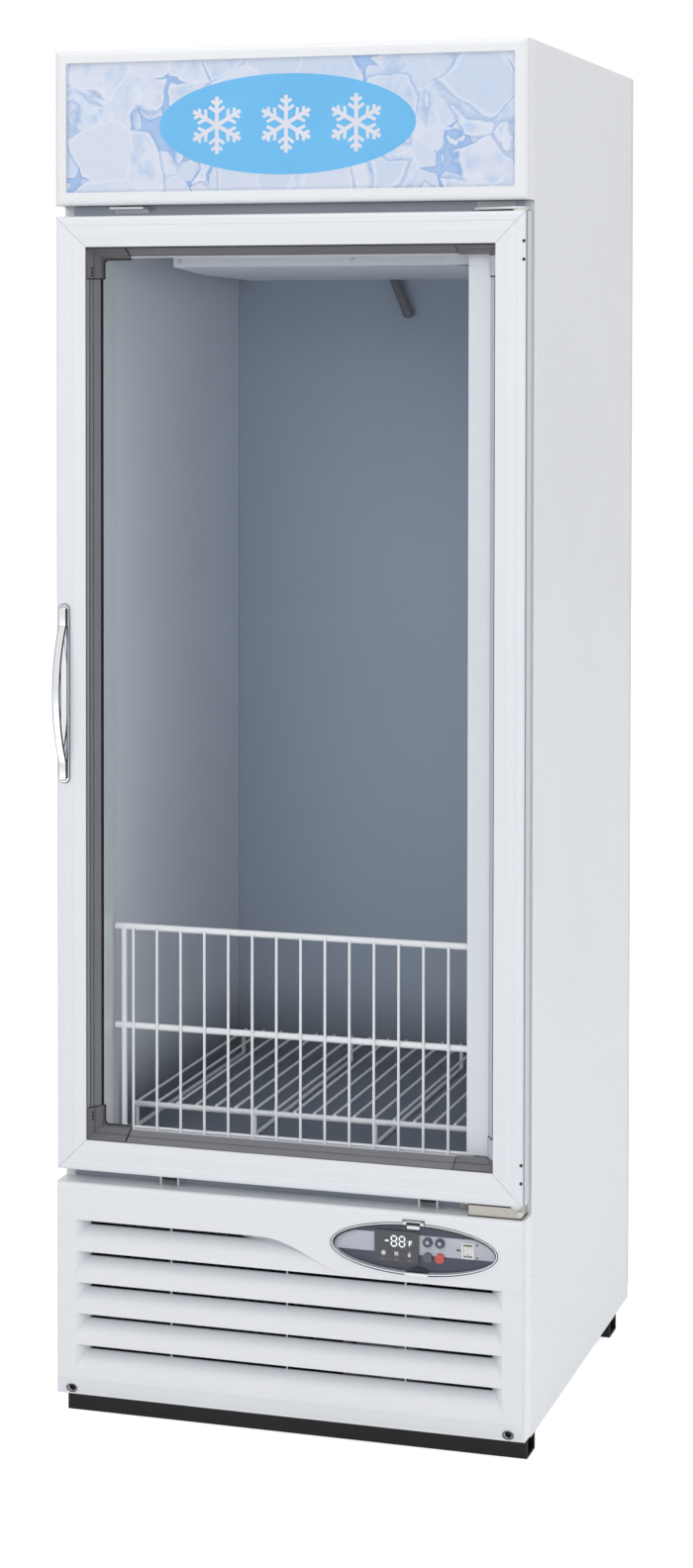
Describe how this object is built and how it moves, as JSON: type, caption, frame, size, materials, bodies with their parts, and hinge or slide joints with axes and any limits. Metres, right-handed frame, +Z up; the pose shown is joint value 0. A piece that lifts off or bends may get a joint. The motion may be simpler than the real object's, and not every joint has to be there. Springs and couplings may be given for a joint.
{
  "type": "ice merchandiser freezer",
  "caption": "Upright glass-door ice merchandiser freezer with a lit sign header, swinging door, louvred machine panel, flip-up control window and wire guard.",
  "frame": {"origin": "on the floor, under the middle of the whole object, handle included", "axes": "+X to the right seen from the front, +Y from the front to the back, +Z up"},
  "size_m": [0.686, 0.778, 1.956],
  "materials": {
    "body_white": "smooth white baked enamel, faint grey on the sides",
    "panel_white": "white moulded plastic, soft sheen",
    "door_white": "white painted extrusion, satin",
    "liner": "pale blue-grey painted liner",
    "foam": null,
    "steel": "bright steel",
    "black": "black paint",
    "sign": "printed acrylic sign, pale blue ice pattern with a blue oval",
    "tray": "white reflector",
    "lamp": "opal lamp",
    "glass": "clear insulating glass",
    "spacer": "grey anodised spacer",
    "key": "dark grey corner pieces",
    "gasket": "soft magnetic gasket",
    "handle": "chromed bow handle",
    "bush": "bearing plastic",
    "hinge_beige": "beige painted steel",
    "bezel": "silver ring",
    "fascia": "dark navy control face with a silver band",
    "display": "dark grey display with white digits",
    "cover": "clear window cover",
    "button_dark": "dark button",
    "button_red": "red button",
    "switch": "off-white rocker switch",
    "zinc": "galvanised sheet",
    "coil": "bare aluminium fins",
    "fan": "moulded fan",
    "wire_white": "white coated wire",
    "machine_black": "black enamel",
    "condenser_grey": "dark grey coated fins",
    "copper": "copper tube",
    "drain": "grey plastic"
  },
  "bodies": {
    "cabinet": {"side_panel_left": "body_white", "side_panel_right": "body_white", "top_panel": "body_white", "back_panel": "body_white", "face_frame": "body_white", "foam_insulation": "foam", "inner_liner": "liner", "breaker_trim": "panel_white", "sill_plate": "steel", "deck_panel": "zinc", "base_pan": "zinc", "base_rails": "black", "rear_vent_panel": "body_white", "grille_panel": "panel_white", "header_frame": "panel_white", "sign_panel": "sign", "header_light_tray": "tray", "header_lamps": "lamp", "hinge_top": "body_white", "hinge_bottom": "hinge_beige", "blank_bracket": "body_white", "fixing_screws": "steel", "control_bezel": "bezel", "control_fascia": "fascia", "display_module": "display", "rocker_frame": "switch", "electrical_box": "zinc", "evaporator_cover": "liner", "evaporator_coil": "coil", "evaporator_fan_motors": "machine_black", "interior_lamp": "lamp", "front_guard": "wire_white", "floor_rack": "wire_white", "compressor": "machine_black", "condenser": "condenser_grey", "refrigerant_lines": "copper", "drain_parts": "drain"},
    "door": {"door_stile_handle": "door_white", "door_stile_hinge": "door_white", "door_rail_top": "door_white", "door_rail_bottom": "door_white", "glass_outer": "glass", "glass_middle": "glass", "glass_inner": "glass", "spacer_bars": "spacer", "spacer_corner_keys": "key", "door_gasket": "gasket", "handle_base": "handle", "handle_grip": "handle", "hinge_bushes": "bush", "closer_torsion_rod": "steel"},
    "control_window": {"control_cover": "cover"},
    "up_button": {"button_up": "button_dark"},
    "down_button": {"button_down": "button_dark"},
    "set_button": {"button_set": "button_dark"},
    "defrost_button": {"button_defrost": "button_red"},
    "rocker": {"rocker_switch": "switch"},
    "condenser_rotor": {"condenser_fan": "fan"},
    "left_evaporator_rotor": {"evaporator_fan_left": "fan"},
    "right_evaporator_rotor": {"evaporator_fan_right": "fan"}
  },
  "joints": [
    {"name": "door_swing", "type": "hinge", "parent": "cabinet", "child": "door", "pos_m": [0.33, -0.339, 0.3595], "axis": [0, 0, 1], "range_deg": [0, 110], "stiffness_Nm_per_rad": 1.5, "springref_deg": -20.05},
    {"name": "control_window_flip", "type": "hinge", "parent": "cabinet", "child": "control_window", "pos_m": [0.187, -0.3548, 0.326], "axis": [-1, 0, 0], "range_deg": [0, 100]},
    {"name": "up_button_press", "type": "slide", "parent": "cabinet", "child": "up_button", "axis": [0, 1, 0], "range_m": [0, 0.0015], "stiffness_N_per_m": 300},
    {"name": "down_button_press", "type": "slide", "parent": "cabinet", "child": "down_button", "axis": [0, 1, 0], "range_m": [0, 0.0015], "stiffness_N_per_m": 300},
    {"name": "set_button_press", "type": "slide", "parent": "cabinet", "child": "set_button", "axis": [0, 1, 0], "range_m": [0, 0.0015], "stiffness_N_per_m": 300},
    {"name": "defrost_button_press", "type": "slide", "parent": "cabinet", "child": "defrost_button", "axis": [0, 1, 0], "range_m": [0, 0.0015], "stiffness_N_per_m": 300},
    {"name": "rocker_tilt", "type": "hinge", "parent": "cabinet", "child": "rocker", "pos_m": [0.262, -0.339, 0.2915], "axis": [-1, 0, 0], "range_deg": [0, 14]},
    {"name": "condenser_fan_spin", "type": "hinge", "parent": "cabinet", "child": "condenser_rotor", "pos_m": [-0.135, -0.193, 0.173], "axis": [0, 1, 0], "continuous": true},
    {"name": "left_evaporator_fan_spin", "type": "hinge", "parent": "cabinet", "child": "left_evaporator_rotor", "pos_m": [-0.118, -0.199, 1.7755], "axis": [0, 1, 0], "continuous": true},
    {"name": "right_evaporator_fan_spin", "type": "hinge", "parent": "cabinet", "child": "right_evaporator_rotor", "pos_m": [0.118, -0.199, 1.7755], "axis": [0, 1, 0], "continuous": true}
  ]
}
